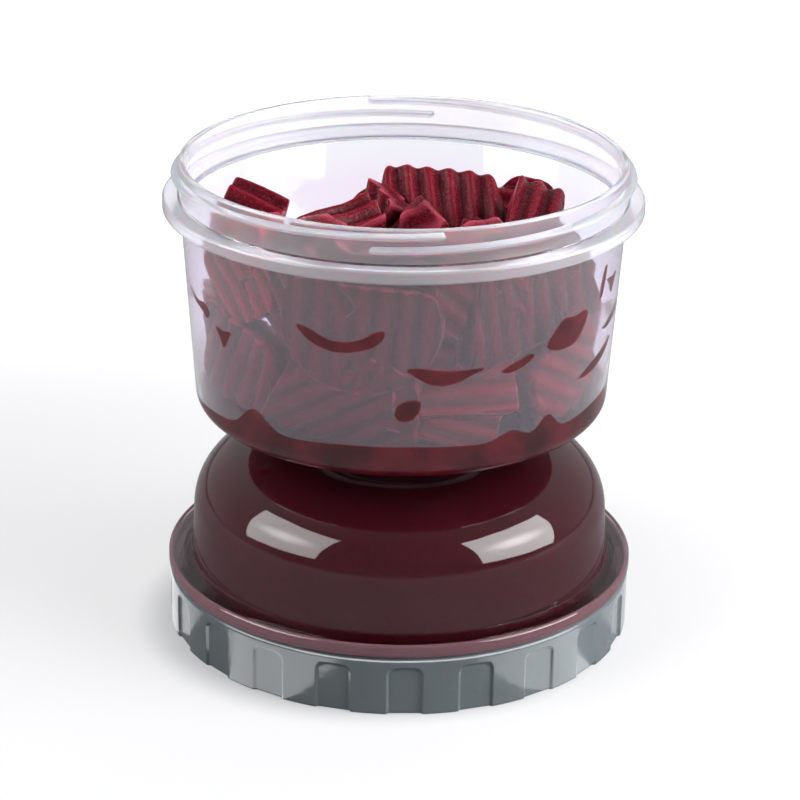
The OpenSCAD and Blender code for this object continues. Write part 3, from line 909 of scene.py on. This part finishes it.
bpy.ops.rigidbody.world_add()
scene.rigidbody_world.substeps_per_frame = 8
scene.rigidbody_world.solver_iterations = 20
settling = []
guard_turns = np.linspace(0, 2 * math.pi, guard_count, endpoint=False)
guard_wall = cup_wall + guard_gap
guard_top_r = bowl_wall(mouth, guard_wall)
guard_rings = [(0, guard_base), (guard_base_r, guard_base), (bowl_wall(guard_heel, guard_wall), guard_heel),
               (guard_top_r, mouth), (guard_top_r, guard_top)]
guard_points = [(r * math.cos(t), r * math.sin(t), z) for r, z in guard_rings for t in guard_turns]
guard_faces = []
for i in range(len(guard_rings) - 1):
    low, high = i * guard_count, (i + 1) * guard_count
    for k in range(guard_count):
        after = (k + 1) % guard_count
        guard_faces.append([low + k, low + after, high + after, high + k])
settling.append(loose_body("guard", guard_points, guard_faces, "PASSIVE", "MESH"))
for sides, thick, size, turn, pose in placed:
    body = loose_body("held", plain_slice(sides, thick, size, turn), [], "PASSIVE", "CONVEX_HULL")
    body.matrix_world = Matrix.Scale(cm, 4) @ pose @ Matrix.Scale(1 / cm, 4)
    settling.append(body)
dropped = []
for i in range(dropped_count):
    sides, thick = cuts[i % len(cuts)], dropped_thick
    size, turn = chance.uniform(0.85, 1.05), chance.uniform(0, 180)
    body = loose_body("loose", plain_slice(sides, thick, size, turn), [], "ACTIVE", "CONVEX_HULL")
    way = drop_turn * i
    far = drop_reach * math.sqrt((i * golden_share) % 1)
    spot = Vector((far * math.cos(way), far * math.sin(way), drop_low + drop_step * i)) * cm
    spin = Quaternion(Vector(chance.normal(size=3)).normalized(), chance.uniform(0, 2 * math.pi))
    body.matrix_world = Matrix.Translation(spot) @ spin.to_matrix().to_4x4()
    settling.append(body)
    dropped.append((sides, thick, size, turn, body))
for moment in range(1, settle_frames + 1):
    lean = heap_lean * min(1, max(0, moment - lean_start) / lean_frames)
    scene.gravity = (0, -pull * math.sin(lean), -pull * math.cos(lean))
    scene.frame_set(moment)
whole = bpy.context.evaluated_depsgraph_get()
heap = on_top + placed
for sides, thick, size, turn, body in dropped:
    pose = Matrix.Scale(1 / cm, 4) @ body.evaluated_get(whole).matrix_world @ Matrix.Scale(cm, 4)
    heap.append((sides, thick, size, turn, pose))
for body in settling:
    bpy.data.objects.remove(body)
bpy.ops.rigidbody.world_remove()
scene.frame_set(1)

# Cooked beetroot: deep red and wet, with growth rings, pale fibres along the cut, and beads of juice that
# catch the light. Its cut edges are painted paler, a painted glint, and pale flecks are painted glints of wet
# specks.
# The crinkle waves get painted shade in their valleys and painted light on their crests. Its grain is drawn
# coarser than the real one, so that it shows. Each point's flesh_place is where it lies in its slice, and its
# flesh_look is paleness, painted edge glint and wave shading.
beetroot, tree = new_material("beetroot_cooked_wet")
place = add(tree, "Attribute", {}, attribute_name="flesh_place")
blotch_mm = 7
blotch = add(tree, "TexNoise", {"Vector": place.outputs["Vector"], "Scale": 1 / blotch_mm, "Detail": 4.0})
ring_mm = 5
rings = add(tree, "TexWave", {"Vector": place.outputs["Vector"], "Scale": 0.314 / ring_mm, "Distortion": 3.0,
                              "Detail": 2.0}, wave_type="RINGS", rings_direction="Z")
fibre_mm = (0.5, 3.5, 0.5)
along = add(tree, "Mapping", {"Vector": place.outputs["Vector"], "Scale": [1 / size for size in fibre_mm]})
fibre = add(tree, "TexNoise", {"Vector": along.outputs["Vector"], "Scale": 1.0, "Detail": 3.0})
grain_mm = 0.6
grain = add(tree, "TexNoise", {"Vector": place.outputs["Vector"], "Scale": 1 / grain_mm, "Detail": 3.0})
deep = add(tree, "MixRGB", {"Fac": blotch.outputs["Fac"], "Color1": linear("#2A0109"),
                            "Color2": linear("#640819")})
flesh = add(tree, "MixRGB", {"Fac": rings.outputs["Fac"], "Color1": deep.outputs["Color"],
                             "Color2": linear("#4C0512")})
streak_share = add(tree, "MapRange", {"Value": fibre.outputs["Fac"], "From Min": 0.5, "From Max": 0.8,
                                      "To Max": 0.6})
look = add(tree, "Attribute", {}, attribute_name="flesh_look")
parts = add(tree, "SeparateXYZ", {"Vector": look.outputs["Vector"]})
toned = add(tree, "MixRGB", {"Fac": parts.outputs["X"], "Color1": flesh.outputs["Color"],
                             "Color2": linear("#8C1229")})
streaked = add(tree, "MixRGB", {"Fac": streak_share.outputs["Result"], "Color1": toned.outputs["Color"],
                                "Color2": linear("#80172A")})
# Cut edges painted paler: a painted glint along their wet sharp edges.
edged = add(tree, "MixRGB", {"Fac": parts.outputs["Y"], "Color1": streaked.outputs["Color"],
                             "Color2": linear("#B94A60")})
# Painted shade and light on the crinkle cut: its valleys are darkened and its crests lightened.
crest = add(tree, "MapRange", {"Value": parts.outputs["Z"], "To Min": 0.62, "To Max": 1.35})
waved = add(tree, "MixRGB", {"Fac": 1.0, "Color1": edged.outputs["Color"], "Color2": crest.outputs["Result"]},
            blend_type="MULTIPLY")
# Pale flecks: painted glints of wet specks.
fleck_share = add(tree, "MapRange", {"Value": grain.outputs["Fac"], "From Min": 0.54, "From Max": 0.7,
                                     "To Max": 0.15})
flecked = add(tree, "MixRGB", {"Fac": fleck_share.outputs["Result"], "Color1": waved.outputs["Color"],
                               "Color2": linear("#B5566A")})
wet = add(tree, "MapRange", {"Value": grain.outputs["Fac"], "To Min": 0.15, "To Max": 0.42})
relief = add(tree, "Bump", {"Height": grain.outputs["Fac"], "Strength": 1.0, "Distance": 0.35 * mm})
bead_mm = 0.9
bead = add(tree, "TexNoise", {"Vector": place.outputs["Vector"], "Scale": 1 / bead_mm, "Detail": 2.0})
beaded = add(tree, "Bump", {"Height": bead.outputs["Fac"], "Strength": 0.8, "Distance": 0.3 * mm})
cut = add(tree, "BsdfPrincipled", {"Base Color": flecked.outputs["Color"], "Roughness": wet.outputs["Result"],
                                   "IOR": 1.38, "Specular IOR Level": 0.1, "Coat Weight": 0.17,
                                   "Coat Roughness": 0.09, "Coat IOR": 1.34,
                                   "Coat Normal": beaded.outputs["Normal"],
                                   "Subsurface Weight": 0.3, "Subsurface Scale": 2.5 * mm,
                                   "Subsurface Radius": (1.0, 0.1, 0.14), "Normal": relief.outputs["Normal"]})
add(tree, "OutputMaterial", {"Surface": cut.outputs[0]})


def drawn_in(points, gap):
    """Moves a slice away from the bowl's wall until that gap is left, and its points with it."""
    over = (np.hypot(points[:, 0], points[:, 1]) - bowl_wall(points[:, 2], cup_wall + gap)).max()
    middle = points.mean(axis=0)
    return points - np.array([middle[0], middle[1], 0]) / np.hypot(middle[0], middle[1]) * max(over, 0)


wall_gap = 0.5
# The share of paler colour on the cut edges: a painted glint.
edge_share = 0.45
# Each slice has a random paleness: small on top, and larger in the heap, where it is also painted fill light
# for the slices seen through the wall.
top_paleness = 0.1
deep_paleness = 0.85
flesh_spread = 500
heap_points, heap_flesh, heap_looks, heap_faces, count = [], [], [], [], 0
for i, (sides, thick, size, turn, pose) in enumerate(heap):
    # Under the heap's weight the soft waves are pressed flatter than on top.
    height = wave_height if i < len(on_top) else pressed_height
    points, faces, edges, crests = cut_slice(sides, thick, size, turn, height)
    set_points = drawn_in(points @ np.array(pose.to_3x3()).T + np.array(pose.translation), wall_gap)
    # Loose slices that would stand out of the heap, or fell past the bowl, are taken away again.
    over_heap = (set_points[:, 2] + heap_fall * (set_points[:, 1] + rim_in_r)).max() > heap_front
    if i >= len(placed) + len(on_top) and (over_heap or pose.translation.z < seat):
        continue
    heap_points.append(set_points)
    heap_flesh.append(points + chance.uniform(-flesh_spread, flesh_spread, 3))
    tone = chance.uniform(0, top_paleness if i < len(on_top) else deep_paleness)
    heap_looks.append(np.column_stack([np.full(len(points), tone), edges * edge_share, crests]))
    heap_faces.extend([[count + index for index in face] for face in faces])
    count += len(points)
slices = new_piece("beetroot_slices", np.concatenate(heap_points), heap_faces, [beetroot])
for name, values in (("flesh_place", heap_flesh), ("flesh_look", heap_looks)):
    attribute = slices.data.attributes.new(name, "FLOAT_VECTOR", "POINT")
    attribute.data.foreach_set("vector", np.concatenate(values).ravel())
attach(slices, "bowl")

# Juice marks
# Where a wet slice touches the bowl's wall, a film of brine joins them and the milky veil goes away there.
# Each mark is a thin drop of the same brine that wets into the wall, with a listed outline.
smile = [(-11.5, 2.6), (-10, 0.4), (-7, -1.9), (-2, -3.4), (3, -3.2), (8, -1.7), (11.2, 0.8), (11.5, 3.2),
         (9, 2.7), (6, 0.8), (2, -0.5), (-3, -0.2), (-8, 1.9)]
boat = [(-10, 1.8), (-8.3, 0.2), (-5, -1.9), (-1, -2.9), (3, -2.2), (7, -0.4), (10, 1.0), (6, 1.1), (0, 1.2),
        (-7, 2.2)]
leaf = [(-4.6, -1.5), (-2, -1.9), (1.5, -0.9), (4.4, 0.9), (4.1, 2.0), (1, 1.3), (-2.5, 0)]
blob = [(-7.6, -1.6), (-6.5, -3.4), (-2, -4.4), (3, -3.8), (6, -1), (7.6, 2.4), (6.5, 4.4), (2, 3.9),
        (-2, 4.3), (-5, 2)]
oval = [(-3.2, -1), (-1.8, -2.9), (0.8, -2.8), (3, -0.5), (3.3, 2.4), (1, 2.9), (-2, 1.8)]
arrow = [(-3.2, 2.4), (-1.6, 0), (0, -2.7), (1.6, -0.4), (3.2, 2.6), (0, 2.1)]
hook = [(-7, 2.2), (-2, -0.2), (3, -1.4), (6, -2.6), (7, -0.4), (4.5, 1.4), (1, 0.9), (-3, 1.1)]
streak = [(-9.5, -2.6), (-5, -2.8), (1, -1.6), (7, 0.8), (9.5, 3.4), (6, 2.6), (0, 1), (-6, -0.9)]
drip = [(-1.3, -4.5), (0.2, -3.5), (1.2, 1), (1.4, 4.6), (0.1, 3), (-0.5, -1)]
# Each mark: its outline, its direction from the axis in degrees and its height.
marks = [
    (smile, -106, 103), (boat, -78.5, 93.8), (leaf, -58.5, 94.4), (blob, -41.6, 99.5), (oval, -88.4, 84),
    (arrow, -144, 94.6), (hook, -158, 100.3), (streak, -25, 86.7), (drip, -26.4, 109), (arrow, -19.6, 106.5),
    (streak, -13, 97), (oval, 12, 91), (boat, 38, 86), (blob, 71, 80), (leaf, 96, 83), (smile, 118, 81),
    (hook, 147, 90), (drip, 171, 98),
]
film_step = 0.4
film_thick = 0.7
# Once around a film: the first seven points lie in the wall, and the rest bulge inwards.
film_shares = np.array([-1, -0.85, -0.5, 0, 0.5, 0.85, 1, 0.85, 0.5, 0, -0.5, -0.85])
film_bulge = film_thick * (1 - film_shares ** 2)
film_depths = np.where(np.arange(len(film_shares)) < 7, -wetting, film_bulge)


def rounded(corners, steps=6):
    """A smooth closed curve through points."""
    before, here, after, later = (np.roll(corners, shift, axis=0)[:, None] for shift in (1, 0, -1, -2))
    t = np.linspace(0, 1, steps, endpoint=False)[None, :, None]
    curve = here + t * (after - before) / 2 + t ** 2 * (before - 2.5 * here + 2 * after - later / 2)
    return (curve + t ** 3 * (1.5 * (here - after) + (later - before) / 2)).reshape(-1, 2)


mark_points, mark_faces, count = [], [], 0
for corners, direction, height in marks:
    u, low, high = two_sides(rounded(np.array(corners, dtype=float)), film_step)
    z = height + ((low + high) / 2)[:, None] + ((high - low) / 2)[:, None] * film_shares
    r = bowl_wall(z, cup_wall) - film_depths
    turn = math.radians(direction) + u[:, None] / bowl_wall(height, cup_wall) + 0 * z
    mark_points.append(np.column_stack([(r * np.cos(turn)).ravel(), (r * np.sin(turn)).ravel(), z.ravel()]))
    mark_faces.extend([[count + index for index in face] for face in skin(len(u), len(film_shares))])
    count += z.size
films = new_piece("juice_marks", np.concatenate(mark_points), mark_faces, [beet_juice])
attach(films, "bowl")
